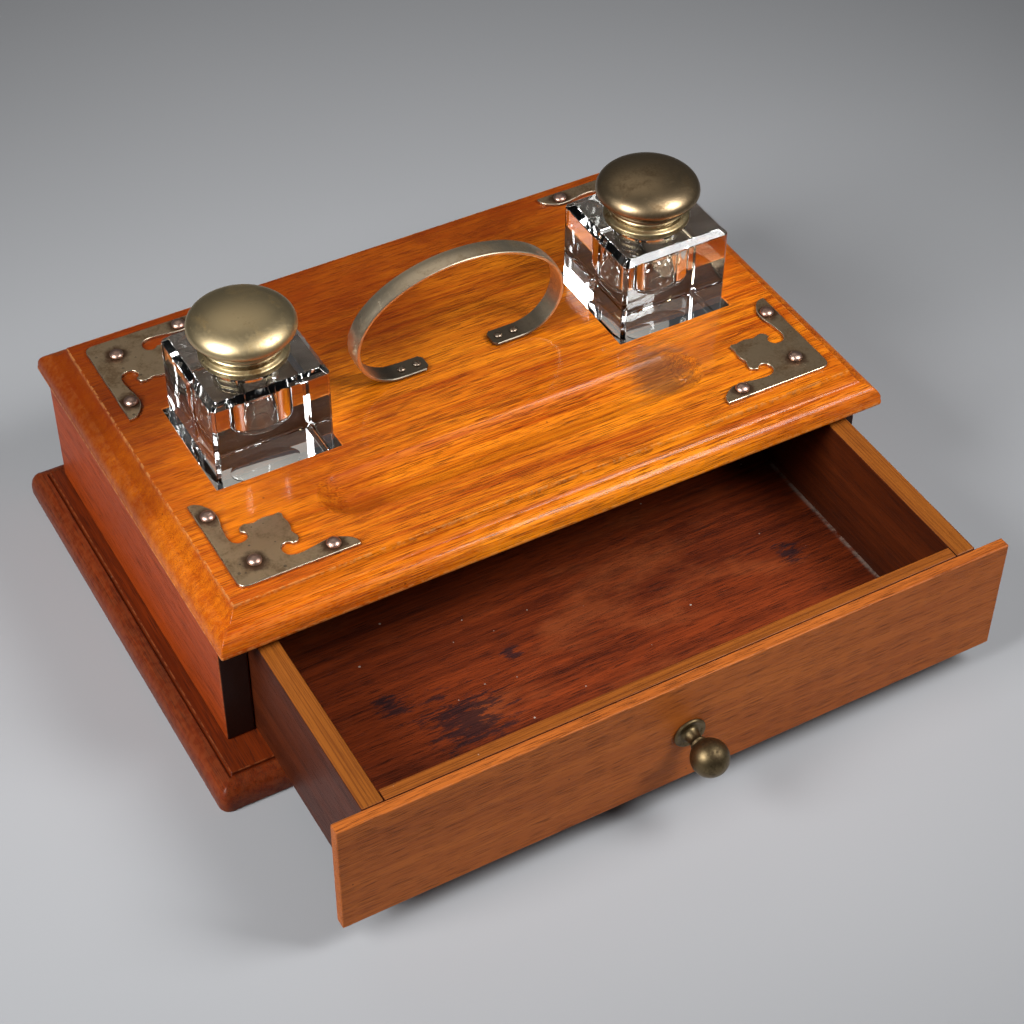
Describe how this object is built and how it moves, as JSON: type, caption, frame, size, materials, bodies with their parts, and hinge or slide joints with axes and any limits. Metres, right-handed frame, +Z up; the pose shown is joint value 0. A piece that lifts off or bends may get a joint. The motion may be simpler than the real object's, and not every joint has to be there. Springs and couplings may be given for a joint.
{
  "type": "inkwell",
  "caption": "Wooden desk inkstand: moulded top with square glass inkwells under domed hinged lids, strap handle, pen groove, corner straps and a drawer below.",
  "frame": {"origin": "on the plinth's underside, below the middle of the top board", "axes": "+X to the right along the drawer front, +Y to the rear, +Z up"},
  "size_m": [0.321, 0.3114, 0.1498],
  "materials": {
    "top_wood": "warm orange-brown open-pored hardwood, worn semi-gloss varnish",
    "case_wood": "darker red-brown hardwood, satin varnish",
    "front_wood": "mid brown hardwood drawer front, satin varnish",
    "edge_wood": "light ochre sawn edges of the drawer boards, thin varnish",
    "inner_wood": "dark red-brown stained board, ink marks",
    "strap_nickel": "grey-olive tarnished nickel plate, satin",
    "nail_metal": "nickel-plated dome worn through to pinkish brass",
    "handle_metal": "satin nickel worn to brass",
    "dark_screw": "dark steel",
    "lid_metal": "satin tarnished nickel on brass",
    "liner_brass": "plain tarnished brass disc",
    "knob_brass": "dark antique brass, polished on the ball by use",
    "clear_glass": "clear cut glass with bevelled edges"
  },
  "bodies": {
    "case": {"plinth_board": "case_wood", "case_left_side": "case_wood", "case_right_side": "case_wood", "case_back": "case_wood", "top_board": "top_wood", "well_floor_left": "inner_wood", "well_floor_right": "inner_wood", "handle_strap": "handle_metal", "handle_screw_1": "dark_screw", "handle_screw_2": "dark_screw", "handle_screw_3": "dark_screw", "handle_screw_4": "dark_screw", "strap_front_left": "strap_nickel", "strap_front_right": "strap_nickel", "strap_rear_left": "strap_nickel", "strap_rear_right": "strap_nickel", "nail_front_left_corner": "nail_metal", "nail_front_left_side": "nail_metal", "nail_front_left_end": "nail_metal", "nail_front_right_corner": "nail_metal", "nail_front_right_side": "nail_metal", "nail_front_right_end": "nail_metal", "nail_rear_left_corner": "nail_metal", "nail_rear_left_side": "nail_metal", "nail_rear_left_end": "nail_metal", "nail_rear_right_corner": "nail_metal", "nail_rear_right_side": "nail_metal", "nail_rear_right_end": "nail_metal"},
    "drawer": {"drawer_front": "front_wood", "drawer_inner_front": "edge_wood", "drawer_left_side": "edge_wood", "drawer_right_side": "edge_wood", "drawer_back": "edge_wood", "drawer_bottom": "inner_wood", "drawer_knob": "knob_brass", "drawer_knob_screw": "dark_screw"},
    "inkwell_left": {"inkwell_glass_left": "clear_glass", "inkwell_collar_left": "lid_metal", "lid_hinge_pin_left": "dark_screw"},
    "lid_left": {"inkwell_lid_left": "lid_metal", "lid_liner_left": "liner_brass"},
    "inkwell_right": {"inkwell_glass_right": "clear_glass", "inkwell_collar_right": "lid_metal", "lid_hinge_pin_right": "dark_screw"},
    "lid_right": {"inkwell_lid_right": "lid_metal", "lid_liner_right": "liner_brass"}
  },
  "joints": [
    {"name": "drawer_slide", "type": "slide", "parent": "case", "child": "drawer", "axis": [0, -1, 0], "range_m": [-0.0975, 0.06]},
    {"name": "inkwell_left_lift", "type": "slide", "parent": "case", "child": "inkwell_left", "axis": [0, 0, 1], "range_m": [0, 0.06]},
    {"name": "inkwell_right_lift", "type": "slide", "parent": "case", "child": "inkwell_right", "axis": [0, 0, 1], "range_m": [0, 0.06]},
    {"name": "lid_left_hinge", "type": "hinge", "parent": "inkwell_left", "child": "lid_left", "pos_m": [-0.092, 0.0234, 0.134], "axis": [-1, 0, 0], "range_deg": [0, 105]},
    {"name": "lid_right_hinge", "type": "hinge", "parent": "inkwell_right", "child": "lid_right", "pos_m": [0.092, 0.0234, 0.134], "axis": [-1, 0, 0], "range_deg": [0, 105]}
  ]
}
